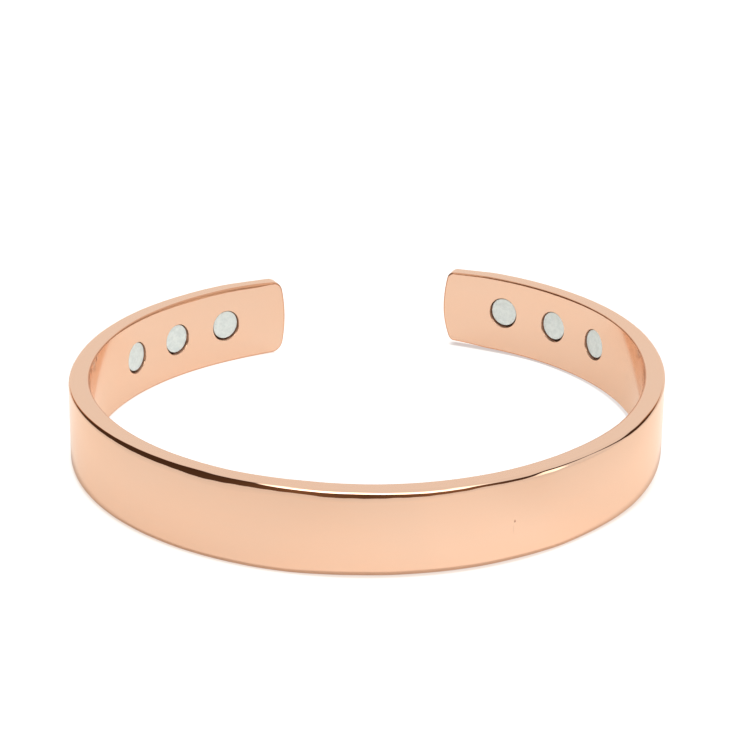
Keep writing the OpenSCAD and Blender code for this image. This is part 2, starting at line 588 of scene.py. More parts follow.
@dataclass(frozen=True)
class PolishedCopper:
    """Bright copper with soft clouding, fine rubbing marks along the bar and mirror-like edges, with painted
    shade on the inner edges and a few painted reflections.

    Rubbing and pitting are how strongly a relief shows, and its depth in metres.
    """

    colour: Colour = (0.78, 0.523, 0.379)
    warm: Colour = (0.80, 0.515, 0.36)
    pale: Colour = (0.75, 0.54, 0.41)
    speck: Colour = (0.45, 0.22, 0.12)
    mark_and_painted_reflection_colour: Colour = (0.36, 0.13, 0.08)
    inner_edge_painted_shade: Colour = (0.84, 0.63, 0.50)
    glancing: Colour = (1.0, 0.905, 0.82)
    clouds: Grain = (0.09, 2.0, 0.5)
    streaks: Grain = (3.2, 4.0, 0.6)
    lines: Grain = (14.0, 3.0, 0.7)
    grain: Grain = (6.0, 3.0, 0.6)
    streak_stretch: tuple[float, float, float] = (0.06, 1.0, 1.0)
    line_stretch: tuple[float, float, float] = (0.02, 1.0, 1.0)
    warming: Run = (0.35, 0.65, 0.0, 0.5)
    paling: Run = (0.35, 0.75, 0.0, 0.2)
    speckling: Run = (0.70, 0.76, 0.0, 0.25)
    flat_roughness: float = 0.10
    streak_roughness: float = 0.06
    bright_edge_roughness: float = 0.035
    rubbed_edge_roughness: float = 0.36
    line_relief: float = 0.6
    grain_relief: float = 0.25
    edge_calm: float = 0.7
    coat: float = 0.08
    coat_roughness: float = 0.06
    rubbing: tuple[float, float] = (0.2, 0.000008)
    pitting: tuple[float, float] = (1.0, 0.00005)
    marks: tuple[Mark, ...] = (
        Mark(9.84, 4.42, 0.11, 0.17, 0.65),
        Mark(9.72, 3.60, 0.06, 0.60, 0.12),
        # The next three are painted reflections: dark specks on the inner face near the left end, standing
        # for what the mirrored corner reflects.
        Mark(-59.9, 8.58, 0.50, 0.22, 0.80, 2.2),
        Mark(-56.6, 8.38, 0.65, 0.26, 0.70, 2.2),
        Mark(-52.6, 8.62, 0.60, 0.20, 0.70, 2.2),
    )

    def make(self) -> Material:
        """Builds the material, and returns it."""
        material, nodes = start_material("polished_copper")
        place = nodes.attribute("straight", "Vector")
        edge = nodes.attribute("edge")
        streaks = place.stretched(self.streak_stretch).noise(*self.streaks)
        lines = place.stretched(self.line_stretch).noise(*self.lines)
        grain = place.noise(*self.grain)
        tone = nodes.mix(place.noise(*self.clouds).rise(*self.warming), self.colour, self.warm)
        tone = nodes.mix(streaks.rise(*self.paling), tone, self.pale)
        tone = nodes.mix(grain.rise(*self.speckling), tone, self.speck)
        mark_and_reflection_spots = [mark.spot(place) for mark in self.marks]
        # Real marks and painted reflections darken the colour alike.
        for spot in mark_and_reflection_spots:
            tone = nodes.mix(spot, tone, self.mark_and_painted_reflection_colour)
        bright = edge.most(0.0)
        rubbed_and_painted_shade = (edge * -1.0).most(0.0)
        # Painted shade: the inner roundings are darkened to a warm brown, which stands in for the dark side
        # that they mirror. They are also made rougher.
        tone = nodes.mix(rubbed_and_painted_shade, tone, nodes.mix(1.0, tone, self.inner_edge_painted_shade, "MULTIPLY"))
        rough = streaks * self.streak_roughness + self.flat_roughness
        rough = bright.between(rough, self.bright_edge_roughness)
        rough = rubbed_and_painted_shade.between(rough, self.rubbed_edge_roughness)
        relief = lines * self.line_relief + grain * self.grain_relief
        bump = nodes.bump(relief * (bright * -self.edge_calm + 1.0), *self.rubbing)
        pits = sum(mark_and_reflection_spots[1:], mark_and_reflection_spots[0]) * -1.0
        nodes.finish("BsdfPrincipled", {
            "Base Color": tone,
            "Metallic": 1.0,
            "Roughness": rough,
            "Normal": nodes.bump(pits, *self.pitting, Normal=bump),
            "Specular Tint": self.glancing,
            "Coat Weight": self.coat,
            "Coat Roughness": self.coat_roughness,
        })
        return material


@dataclass(frozen=True)
class GrainyFinish:
    """A blotchy, dull and slightly rough surface.

    The relief is how strongly the grain shows, and its depth in metres.
    """

    name: str
    light: Colour
    dark: Colour
    blotches: Grain
    blotting: Run
    grain: Grain
    metallic: float
    roughness: Run
    relief: tuple[float, float]
    graining: Run | None = None
    # A rim colour is painted shade on the rounded rims.
    rim: Colour | None = None
    rim_shade_fade: Run = (0.2, 1.0, 0.0, 0.9)

    def make(self) -> Material:
        """Builds the material, and returns it."""
        material, nodes = start_material(self.name)
        place = nodes.attribute("straight", "Vector")
        grain = place.noise(*self.grain)
        tone = nodes.mix(place.noise(*self.blotches).rise(*self.blotting), self.light, self.dark)
        if self.graining:
            tone = nodes.mix(grain.rise(*self.graining), tone, self.dark)
        # Painted shade: the rounded rims are darkened towards the rim colour.
        if self.rim:
            tone = nodes.mix(nodes.attribute("edge").rise(*self.rim_shade_fade), tone, self.rim)
        nodes.finish("BsdfPrincipled", {
            "Base Color": tone,
            "Metallic": self.metallic,
            "Roughness": grain.rise(*self.roughness),
            "Normal": nodes.bump(grain, *self.relief),
        })
        return material


# Brown, dull metal inside the pockets, painted darker as shade in the recess, with darker blotches at random
POCKET_PAINTED_SHADE = GrainyFinish(
    name="pocket_brown", light=(0.74, 0.42, 0.28), dark=(0.42, 0.23, 0.15),
    blotches=(1.4, 3.0, 0.6), blotting=(0.35, 0.65, 0.0, 1.0), grain=(9.0, 2.0, 0.5),
    metallic=0.2, roughness=(0.3, 0.7, 0.35, 0.6), relief=(0.5, 0.00002),
)
# Grainy silver plating of the magnets, slightly mottled, with painted shade darkening the rims where they
# meet the pocket's gap
DULL_SILVER = GrainyFinish(
    name="dull_silver", light=(0.745, 0.825, 0.82), dark=(0.65, 0.735, 0.735),
    blotches=(1.6, 3.0, 0.65), blotting=(0.35, 0.68, 0.0, 1.0), grain=(7.0, 3.0, 0.6),
    metallic=0.75, roughness=(0.3, 0.7, 0.34, 0.5), relief=(0.6, 0.00003),
    graining=(0.45, 0.75, 0.0, 0.4), rim=(0.40, 0.37, 0.34),
)


@dataclass(frozen=True)
class WhiteTable:
    """Bright white table that keeps only the softest, warm shadow along the bar's foot.

    It glows a little by itself. What the copper mirrors of it is brightest just outside the bar and
    dark in the crease under the lower edge. Distances are in millimetres from the bar's outer face
    outward, from its inner face inward, or past its end. Places across the table are in metres.
    """

    paint: float = 0.66
    seen_paint: float = 0.25
    mottle: Grain = (40.0, 2.0, 0.5)
    mottling: Run = (0.2, 0.8, 0.985, 1.015)
    thickness: float = 2.2
    near_glow: Run = (4.0, 24.0, 0.68, 0.50)
    far_glow: Run = (24.0, 60.0, 0.0, 0.08)
    glow_across: tuple[Run, ...] = (
        (-0.0015, 0.0035, 0.96, 1.0),
        (-0.026, -0.004, 0.88, 1.0),
        (0.012, 0.028, 1.0, 0.85),
    )
    inside_glow: float = 0.54
    within: Run = (-2.6, -1.8, 1.0, 0.0)
    tint: Colour = (1.035, 1.0, 0.955)
    crease_tint: Colour = (0.38, 0.3116, 0.2812)
    crease_front: Run = (-1.4, -0.8, 0.0, 1.0)
    crease_fade: Run = (0.15, 1.2, 1.0, 0.0)
    shadow: tuple[tuple[float, Colour], ...] = (
        (-0.2, (0.76, 0.67, 0.61)),
        (0.0, (0.86, 0.81, 0.77)),
        (0.1, (0.91, 0.89, 0.86)),
        (0.3, (0.93, 0.925, 0.90)),
        (1.2, (0.94, 0.94, 0.92)),
    )
    inward_pace: float = 2.0
    end_overhang: float = 1.3
    end_pace: float = 3.0
    wide: Run = (0.012, 0.028, 1.0, 0.5)
    deeper_right: Run = (0.012, 0.026, 0.0, 0.16)
    deeper_left: Run = (-0.028, -0.008, 0.07, 0.0)
    white: Colour = (0.94, 0.94, 0.93)
    grey: Colour = (0.47, 0.42, 0.415)
    raised_length: Run = (-60.0, -45.0, 0.0, 1.0)
    raised_side: Run = (0.0, 0.002, 0.0, 1.0)
    band_reach: Run = (-15.0, -5.0, 0.5, 1.2)
    band_start: Run = (-0.6, -0.1, 0.0, 1.0)
    band_fade: Run = (0.4, 1.0, 1.0, 0.0)
    band_along: tuple[Run, ...] = ((-2.0, -0.5, 1.0, 0.0), (-30.0, -12.0, 0.6, 1.0))

    def make(self) -> Material:
        """Builds the material, and returns it."""
        material, nodes = start_material("white_table")
        place = nodes.value("TexCoord", output="Object")
        by_eye = nodes.value("LightPath", output="Is Camera Ray")
        x = place.split()[0]
        outward = nodes.attribute("outward")
        inward = outward * -1.0 - self.thickness
        past = nodes.attribute("past")
        white = by_eye.between(self.paint, self.seen_paint) * place.noise(*self.mottle).rise(*self.mottling)
        mirrored = self._mirrored(nodes, x, outward, outward.most(inward).most(past))
        seen = nodes.mix(
            past.rise(*self.raised_length) * x.rise(*self.raised_side),
            self._shadow(x, outward, inward, past),
            nodes.mix(self._band(inward, past), self.white, self.grey),
        )
        nodes.finish("AddShader", {
            0: nodes.value("BsdfDiffuse", {"Color": white}),
            1: nodes.value("Emission", {"Color": nodes.mix(by_eye, mirrored, seen), "Strength": 1.0}),
        })
        return material

    def _mirrored(self, nodes: Nodes, x: Value, outward: Value, foot: Value) -> Value:
        """The glow that the copper mirrors.

        Args:
            nodes: Where the nodes are added.
            x: Place to the right.
            outward: Distance outward from the bar's outer face.
            foot: Distance from the bar.

        Returns:
            The colour of the glow.
        """
        outside = outward.rise(*self.near_glow) - outward.rise(*self.far_glow)
        for run in self.glow_across:
            outside = outside * x.rise(*run)
        level = outward.rise(*self.within).between(outside, self.inside_glow)
        light = nodes.value("CombineColor", {0: level, 1: level, 2: level})
        light = nodes.mix(1.0, light, self.tint, "MULTIPLY")
        crease = outward.rise(*self.crease_front) * foot.rise(*self.crease_fade)
        return nodes.mix(crease, light, nodes.mix(1.0, light, self.crease_tint, "MULTIPLY"))

    def _shadow(self, x: Value, outward: Value, inward: Value, past: Value) -> Value:
        """The shadow along the foot, which the camera sees.

        Args:
            x: Place to the right.
            outward: Distance outward from the bar's outer face.
            inward: Distance inward from its inner face.
            past: Distance past its end.

        Returns:
            The colour of the table.
        """
        beyond = (past + self.end_overhang) * self.end_pace
        clear = outward.most(inward * self.inward_pace).most(beyond) * x.rise(*self.wide)
        return (clear - x.rise(*self.deeper_right) - x.rise(*self.deeper_left)).ramp(self.shadow)

    def _band(self, inward: Value, past: Value) -> Value:
        """How strong the grey shade is under the right end, which stands clear of the table."""
        reach = past.rise(*self.band_reach)
        band = inward.rise(*self.band_start) * inward.below(reach) * (inward / reach).rise(*self.band_fade)
        for run in self.band_along:
            band = band * past.rise(*run)
        return band


def arc(centre: tuple[float, float], radius: float, turns: tuple[float, float], steps: int) -> Array:
    """Runs round an arc of the outline.

    Args:
        centre: Its centre, in length and height.
        radius: Its radius.
        turns: The turns at which it starts and stops.
        steps: How many steps it has.

    Returns:
        Rows of length, height and outward normal.
    """
    turn = np.linspace(*turns, steps + 1)
    normal = np.stack([np.cos(turn), np.sin(turn)], 1)
    return np.column_stack([normal * radius + centre, normal])


@dataclass
class Outline:
    """The bar's outline seen square on, in lengths and heights, as the edge of a grid.

    The long edges have columns, and each end has rows that run round its corners.
    """

    path: BarPath
    bow_depth: float = 0.6
    corners: dict[tuple[Hand, bool], float] = field(default_factory=lambda: {
        (Hand.LEFT, True): 1.3, (Hand.RIGHT, True): 0.9, (Hand.LEFT, False): 1.5, (Hand.RIGHT, False): 0.7,
    })
    undercut: float = 0.38
    undercut_stop: float = 0.5
    end_reach: float = 3.0
    straight_columns: int = 8
    corner_columns: int = 6
    corner_rows: int = 5
    bow_rows: int = 16

    @property
    def rows(self) -> int:
        """Number of cells across the bar."""
        return 2 * self.corner_rows + self.bow_rows

    @property
    def end_columns(self) -> int:
        """Number of cells along the bar in one end."""
        return self.straight_columns + self.corner_columns

    def _quarter(self, hand: Hand, upper: bool) -> tuple[Array, Array]:
        """Half of one end, from its long edge round the corner to the middle of the bow.

        Args:
            hand: Which end.
            upper: Whether it is the upper half.

        Returns:
            Rows of length, height and outward normal along the long edge up to the middle of the
            corner, and such rows from there round to the middle of the bow.
        """
        half = self.path.height / 2
        radius = self.corners[hand, upper]
        bow = (half * half + self.bow_depth**2) / (2 * self.bow_depth)
        back = math.sqrt((bow - radius) ** 2 - (half - radius) ** 2) - bow
        lean = math.asin((half - radius) / (bow - radius))
        split = (QUARTER_TURN + lean) / 2
        corner = (back, half - radius)
        flat = np.zeros((self.straight_columns, 4))
        flat[:, 0] = np.linspace(-self.end_reach, back, self.straight_columns + 1)[:-1]
        flat[:, 1] = half
        flat[:, 3] = 1.0
        edge = np.concatenate([flat, arc(corner, radius, (QUARTER_TURN, split), self.corner_columns)])
        end = np.concatenate([
            arc(corner, radius, (split, lean), self.corner_rows),
            arc((-bow, 0.0), bow, (lean, 0.0), self.bow_rows // 2)[1:],
        ])
        undercut = self.undercut if hand is Hand.RIGHT and not upper else 0.0
        side = np.array([hand.value, 1.0 if upper else -1.0] * 2)
        for rows in (edge, end):
            share = undercut * smooth_step(rows[:, 0], -self.end_reach, -self.undercut_stop)
            rows[:, 3] += 2.0 * share * rows[:, 1] / half**2 * rows[:, 2]
            rows[:, 0] += self.path.reach[hand] - share * (rows[:, 1] / half) ** 2
            rows[:, 2:] = unit(rows[:, 2:])
            rows *= side
            rows[:, 1] += half
        return edge, end

    def loop(self, columns: Array) -> tuple[Array, Array]:
        """Whole outline, along the lower edge, up the right end, back along the top, down the left end.

        Args:
            columns: Lengths of the grid's columns between the two ends.

        Returns:
            Points and outward normals. The first point is the lower left corner's middle.
        """
        edges, ends = {}, {}
        for upper in (True, False):
            for hand in Hand:
                edges[hand, upper], ends[hand, upper] = self._quarter(hand, upper)
            row = [0.0, self.path.height, 0.0, 1.0] if upper else [0.0, 0.0, 0.0, -1.0]
            middle = np.tile(row, (len(columns) - 2, 1))
            middle[:, 0] = columns[1:-1]
            edges[upper] = np.concatenate([edges[Hand.LEFT, upper][::-1], middle, edges[Hand.RIGHT, upper]])
        rows = np.concatenate([
            edges[False], ends[Hand.RIGHT, False][1:], ends[Hand.RIGHT, True][-2:0:-1],
            edges[True][::-1], ends[Hand.LEFT, True][1:], ends[Hand.LEFT, False][-2:0:-1],
        ])
        return rows[:, :2], rows[:, 2:]


@dataclass
class EdgeWear:
    """How far the bar's edges are rounded, which polishing by hand left uneven.

    Each row is an angle round from the front, how far the rounding reaches over the broad face there,
    and how far it reaches into the bar's thickness. Each wave is its turn to a millimetre, where it
    begins and its share, and the ripple is such a turn and share.
    """

    path: BarPath
    end_clearance: float = 0.9
    fade: float = 4.5
    waves: Rows = ((0.61, 1.0, 0.5), (1.37, 2.0, 0.3))
    top_waviness: float = 0.05
    low_waviness: float = 0.04
    ripple: tuple[float, float] = (3.1, 0.02)
    outer_top: Rows = (
        (-168.0, 0.60, 1.00), (-156.0, 0.60, 0.60), (-100.0, 0.50, 0.40), (-85.0, 0.34, 0.36),
        (-76.0, 0.42, 0.38), (-68.0, 0.60, 0.39), (-60.0, 0.84, 0.42), (-50.0, 0.92, 0.44),
        (-42.0, 1.17, 0.55), (-35.0, 1.19, 0.40), (-28.0, 1.06, 0.41), (-22.0, 1.00, 0.47),
        (-16.0, 1.14, 0.58), (-10.0, 1.12, 0.56), (2.0, 0.94, 0.53), (12.0, 0.62, 0.40), (18.0, 0.55, 0.45),
        (22.0, 0.66, 0.48), (25.0, 0.80, 0.49), (28.0, 0.74, 0.54), (32.0, 0.64, 0.45), (36.0, 0.64, 0.50),
        (41.0, 0.55, 0.47), (45.0, 0.44, 0.44), (48.0, 0.42, 0.50), (51.0, 0.38, 0.45), (54.0, 0.40, 0.40),
        (57.0, 0.40, 0.36), (62.0, 0.30, 0.36), (85.0, 0.45, 0.38), (100.0, 0.55, 0.42),
        (140.0, 0.60, 0.42), (150.5, 0.60, 0.90),
    )
    outer_bottom: Rows = (
        (-90.0, 0.60, 0.55), (-45.0, 0.56, 0.52), (-25.0, 0.58, 0.55), (-12.0, 0.80, 0.95),
        (20.0, 0.75, 0.85), (30.0, 0.60, 0.60), (42.0, 0.55, 0.55), (55.0, 0.55, 0.48), (90.0, 0.55, 0.45),
        (110.0, 0.45, 0.45),
    )
    inner_top: Rows = (
        (-166.0, 0.40, 0.36), (-146.0, 0.36, 0.34), (-134.0, 0.28, 0.28), (-118.0, 0.14, 0.16),
        (-75.0, 0.12, 0.14), (-50.0, 0.34, 0.33), (50.0, 0.34, 0.33), (75.0, 0.12, 0.14),
        (100.0, 0.13, 0.15), (118.0, 0.19, 0.20), (150.0, 0.22, 0.24),
    )
    inner_bottom: Rows = ((0.0, 0.20, 0.22),)
    outer_end: tuple[float, float] = (0.50, 0.70)
    inner_end: tuple[float, float] = (0.20, 0.22)

    def at(self, points: Array, face: Face) -> Array:
        """Roundings along the outline.

        Args:
            points: Lengths and heights of the outline.
            face: Broad face that the rounding meets.

        Returns:
            Rows of reach over the face and reach into the thickness.
        """
        length, height = points.T
        angle = self.path.angle(length)
        outer = face is Face.OUTER
        top = np.stack(read_rows(self.outer_top if outer else self.inner_top, angle), 1)
        low = np.stack(read_rows(self.outer_bottom if outer else self.inner_bottom, angle), 1)
        waves = sum(share * np.sin(length * pace + start) for pace, start, share in self.waves)
        ripple = self.ripple[1] * np.sin(length * self.ripple[0])
        top *= (1.0 + self.top_waviness * waves + ripple)[:, None]
        low *= (1.0 + self.low_waviness * waves)[:, None]
        long_edge = np.where((height > self.path.height / 2)[:, None], top, low)
        part = smooth_step(self.path.end_of(length) - np.abs(length), self.end_clearance, self.fade)[:, None]
        return part * long_edge + (1.0 - part) * np.array(self.outer_end if outer else self.inner_end)


@dataclass
class Pocket:
    """One blind round pocket in the inner face, in the middle of a square of the face's grid."""

    node: str
    length: float
    height: float
    radius: float = 1.82
    depth: float = 1.3
    half_square: float = 2.4
    cells: int = 16
    rim: float = 0.06
    floor_rounding: float = 0.12
    face_steps: int = 5
    rim_steps: int = 3
    wall_steps: int = 4
    floor_rings: tuple[float, ...] = (0.68, 0.34)
    span: float = 3.0
    samples: int = 241

    def border(self) -> tuple[Array, Array]:
        """Rows and columns of the points round its square, from the lower left corner."""
        last = self.cells
        way = [(0, k) for k in range(last)] + [(k, last) for k in range(last)]
        way += [(last, k) for k in range(last, 0, -1)] + [(k, 0) for k in range(last, 0, -1)]
        rows, columns = np.array(way).T
        return rows, columns

    def profile(self) -> list[tuple[float, float, float, float]]:
        """The pocket's section from its rim down the wall to its floor.

        Returns:
            Rows of radius, how much of the bent face's own depth is added, depth, and how far the
            normal leans from the face's.
        """
        rim, rounding = self.rim, self.floor_rounding
        leans = QUARTER_TURN * np.arange(1, self.rim_steps + 1) / self.rim_steps
        rows = [(self.radius + rim * (1 - math.sin(a)), 1.0, rim * (1 - math.cos(a)), a) for a in leans]
        for part in np.arange(1, self.wall_steps + 1) / self.wall_steps:
            depth = (1 - part) * rim + part * (self.depth - rounding)
            rows.append((self.radius, 1 - part, depth, QUARTER_TURN))
        for a in QUARTER_TURN - leans:
            depth = self.depth - rounding * (1 - math.cos(a))
            rows.append((self.radius - rounding * (1 - math.sin(a)), 0.0, depth, a))
        return rows + [(part * self.radius, 0.0, self.depth, 0.0) for part in self.floor_rings]


@dataclass
class Cuff:
    """The bent copper bar with its pockets."""

    path: BarPath
    wear: EdgeWear
    outline: Outline
    pockets: list[Pocket]
    long_step: float = 0.4
    rounding_steps: int = 10
    side_steps: int = 3
    near_edge: float = 0.7
    shell: Shell = field(default_factory=Shell)
    first: dict[str, int] = field(default_factory=dict)
    cells: int = field(init=False)
    points: Array = field(init=False)
    normals: Array = field(init=False)

    def __post_init__(self) -> None:
        """Lays out the grid and the outline."""
        self.pockets.sort(key=lambda pocket: pocket.length)
        columns = self._columns()
        self.cells = len(columns) - 1 + 2 * self.outline.end_columns
        self.points, self.normals = self.outline.loop(columns)

    def _columns(self) -> Array:
        """Lengths of the columns between the two ends, with each pocket's square on whole cells."""
        lengths = [self.outline.end_reach - self.path.reach[Hand.LEFT]]
        for pocket in self.pockets:
            curve = np.interp(pocket.length, self.path.length, self.path.curve)
            half = pocket.half_square / (1.0 - self.path.thickness * curve)
            self._fill(lengths, pocket.length - half)
            self.first[pocket.node] = len(lengths) - 1 + self.outline.end_columns
            lengths += list(np.linspace(pocket.length - half, pocket.length + half, pocket.cells + 1)[1:])
        self._fill(lengths, self.path.reach[Hand.RIGHT] - self.outline.end_reach)
        return np.array(lengths)

    def _fill(self, lengths: list[float], stop: float) -> None:
        """Adds evenly spaced lengths up to a stop."""
        steps = max(1, round((stop - lengths[-1]) / self.long_step))
        lengths += list(np.linspace(lengths[-1], stop, steps + 1)[1:])

    def _row_heights(self, length: Array) -> Array:
        """Height on which the rows are centred, which follows the pockets."""
        heights = [pocket.height for pocket in self.pockets]
        real = np.interp(length, [pocket.length for pocket in self.pockets], heights)
        return self.path.plain_height(length, real)

    def _sheet(self, edge: Array) -> Array:
        """Fills one face's grid from its edge.

        Args:
            edge: The face's edge as a loop of lengths and heights.

        Returns:
            Lengths and heights in rows and columns.
        """
        rows, columns, ends = self.outline.rows, self.cells, self.outline.end_columns
        grid = np.zeros((rows + 1, columns + 1, 2))
        grid[0] = edge[:columns + 1]
        grid[:, -1] = edge[columns:columns + rows + 1]
        grid[-1] = edge[columns + rows:2 * columns + rows + 1][::-1]
        grid[1:-1, 0] = edge[2 * columns + rows + 1:][::-1]
        inside = slice(ends, columns - ends + 1)
        length = grid[0, inside, 0]
        middle = self._row_heights(length)
        half = self.pockets[0].half_square
        levels = np.stack([grid[0, inside, 1], middle - half, middle + half, grid[-1, inside, 1]])
        marks = np.cumsum([0, self.outline.corner_rows, self.outline.bow_rows, self.outline.corner_rows])
        for row in range(1, rows):
            k = int(np.searchsorted(marks, row, side="right")) - 1
            part = (row - marks[k]) / (marks[k + 1] - marks[k])
            grid[row, inside, 1] = (1 - part) * levels[k] + part * levels[k + 1]
            grid[row, inside, 0] = length
        for span in (slice(0, ends + 1), slice(columns - ends, columns + 1)):
            grid[:, span] = self._patch(grid[:, span])
        return grid

    @staticmethod
    def _patch(grid: Array) -> Array:
        """Fills the inside of a grid smoothly from its four sides."""
        low, high, left, right = grid[0], grid[-1], grid[:, 0], grid[:, -1]
        gaps = [np.linalg.norm(np.diff(side, axis=0), axis=1) for side in (low, left, right)]
        across, upward = gaps[0], (gaps[1] + gaps[2]) / 2
        u = (np.concatenate([[0.0], np.cumsum(across)]) / across.sum())[None, :, None]
        v = (np.concatenate([[0.0], np.cumsum(upward)]) / upward.sum())[:, None, None]
        ruled = (1 - v) * low[None] + v * high[None] + (1 - u) * left[:, None] + u * right[:, None]
        bottom = (1 - u) * (1 - v) * low[0] + u * (1 - v) * low[-1]
        filled = ruled - (bottom + (1 - u) * v * high[0] + u * v * high[-1])
        filled[0], filled[-1], filled[:, 0], filled[:, -1] = low, high, left, right
        return filled

    def _bend_in(self, straight: Array, normals: Array, edge: float | Array) -> Array:
        """Bends points of the straight bar and adds them to the shell."""
        points, bent = self.path.bend(straight, normals)
        return self.shell.add(points, bent, straight, edge)

    def make(self, finishes: list[Material]) -> Piece:
        """Builds the whole cuff.

        Args:
            finishes: Its materials, in the order of the slots.

        Returns:
            The piece, riding on the root body in place of the CAD node.
        """
        self._sides([self._face(face) for face in Face])
        return self.shell.build("cuff_bar", finishes, "cuff", "copper")

    def _face(self, face: Face) -> Array:
        """Builds one broad face and the rounding round it.

        Args:
            face: Which face.

        Returns:
            Vertex numbers of the rounding's last ring.
        """
        outer = face is Face.OUTER
        level, into = (0.0, 1.0) if outer else (self.path.thickness, -1.0)
        over, sunk = self.wear.at(self.points, face).T
        grid = self._sheet(self.points - self.normals * over[:, None])
        flat = np.insert(grid.reshape(-1, 2), 2, level, axis=1)
        facing = np.tile([0.0, 0.0, -into], (len(flat), 1))
        numbers = self._bend_in(flat, facing, self._nearness(grid) if outer else 0.0).reshape(grid.shape[:2])
        keep = np.ones((self.outline.rows, self.cells), bool)
        for pocket in [] if outer else self.pockets:
            row, column = self.outline.corner_rows, self.first[pocket.node]
            keep[row:row + pocket.cells, column:column + pocket.cells] = False
            square = np.s_[row:row + pocket.cells + 1, column:column + pocket.cells + 1]
            self._pocket(pocket, numbers[square], grid[square])
        self.shell.skin(numbers, Slot.MAIN, keep=keep)
        rings = [np.concatenate([numbers[0], numbers[1:, -1], numbers[-1, -2::-1], numbers[-2:0:-1, 0]])]
        for step in range(1, self.rounding_steps + 1):
            turn = QUARTER_TURN * step / self.rounding_steps
            place = self.points - self.normals * (over * (1.0 - math.sin(turn)))[:, None]
            straight = np.column_stack([place, level + into * sunk * (1.0 - math.cos(turn))])
            sideways = self.normals * (math.sin(turn) / over)[:, None]
            facing = unit(np.column_stack([sideways, -into * math.cos(turn) / sunk]))
            last_rubbed_and_shaded = not outer and step == self.rounding_steps
            rings.append(self._bend_in(straight, facing, 0.0 if last_rubbed_and_shaded else into))
        self.shell.skin(np.stack(rings), Slot.MAIN, closed=True)
        return rings[-1]

    def _nearness(self, grid: Array) -> Array:
        """How near each point of a face's grid is to the face's edge, from 0 to 1."""
        gaps = [np.abs(grid[..., 1] - side[None, :, 1]) for side in (grid[0], grid[-1])]
        gaps += [np.abs(grid[..., 0] - side[:, None, 0]) for side in (grid[:, 0], grid[:, -1])]
        return (1.0 - smooth_step(np.min(gaps, axis=0), 0.0, self.near_edge)).ravel()

    def _sides(self, rings: list[Array]) -> None:
        """Joins the two faces' roundings round the bar's edge."""
        outer, inner = (self.wear.at(self.points, face)[:, 1] for face in Face)
        facing = np.insert(self.normals, 2, 0.0, axis=1)
        bands = [rings[0]]
        for part in np.arange(1, self.side_steps) / self.side_steps:
            depth = (1 - part) * outer + part * (self.path.thickness - inner)
            bands.append(self._bend_in(np.column_stack([self.points, depth]), facing, 0.0))
        self.shell.skin(np.stack([*bands, rings[1]]), Slot.MAIN, closed=True)

    def _pocket(self, pocket: Pocket, square: Array, grid: Array) -> None:
        """Builds one pocket inside its square of the inner face.

        Args:
            pocket: Which pocket.
            square: Vertex numbers of the square.
            grid: Lengths and heights of the square.
        """
        border = pocket.border()
        count = len(border[0])
        turn = -1.5 * QUARTER_TURN + FULL_TURN * np.arange(count) / count
        u, w = np.cos(turn), np.sin(turn)
        along, outward = self.path.directions(pocket.length)
        level = self.path.thickness
        line = np.linspace(-pocket.span, pocket.span, pocket.samples)
        reach = pocket.length + line
        samples = np.column_stack([
            reach, self.path.plain_height(reach, pocket.height), np.full_like(line, level)
        ])
        curve = self.path.bend(samples, np.tile(UP, (len(line), 1)))[0]
        origin = curve[len(line) // 2]
        offsets = (curve - origin) @ along
        outer_radius = pocket.radius + pocket.rim
        length = pocket.length + np.interp(outer_radius * u, offsets, line)
        circle = np.column_stack([length, self.path.plain_height(length, pocket.height + outer_radius * w)])
        rings = [square[border]]
        for part in np.arange(1, pocket.face_steps + 1) / pocket.face_steps:
            place = np.insert((1 - part) * grid[border] + part * circle, 2, level, axis=1)
            rings.append(self._bend_in(place, np.tile(UP, (count, 1)), 0.0))
        self.shell.skin(np.stack(rings), Slot.MAIN, closed=True)
        shore = np.interp(outer_radius * u, offsets, (curve - origin) @ outward)
        radial = u[:, None] * along + w[:, None] * UP
        rings = rings[-1:]
        for radius, share, below, lean in pocket.profile():
            depth = share * shore + below
            spot = origin + radius * radial + depth[:, None] * outward
            normal = unit(-math.cos(lean) * outward - math.sin(lean) * radial)
            rings.append(self.shell.add(spot, normal, np.column_stack([circle, level - depth]), 1.0))
        self.shell.skin(np.stack(rings[:pocket.rim_steps + 1]), Slot.MAIN, closed=True)
        self.shell.skin(np.stack(rings[pocket.rim_steps:]), Slot.POCKET, closed=True)
        floor = np.array([pocket.length, pocket.height, level - pocket.depth])
        self.shell.cap(rings[-1], (origin + pocket.depth * outward, -outward, floor), 1.0, Slot.POCKET)


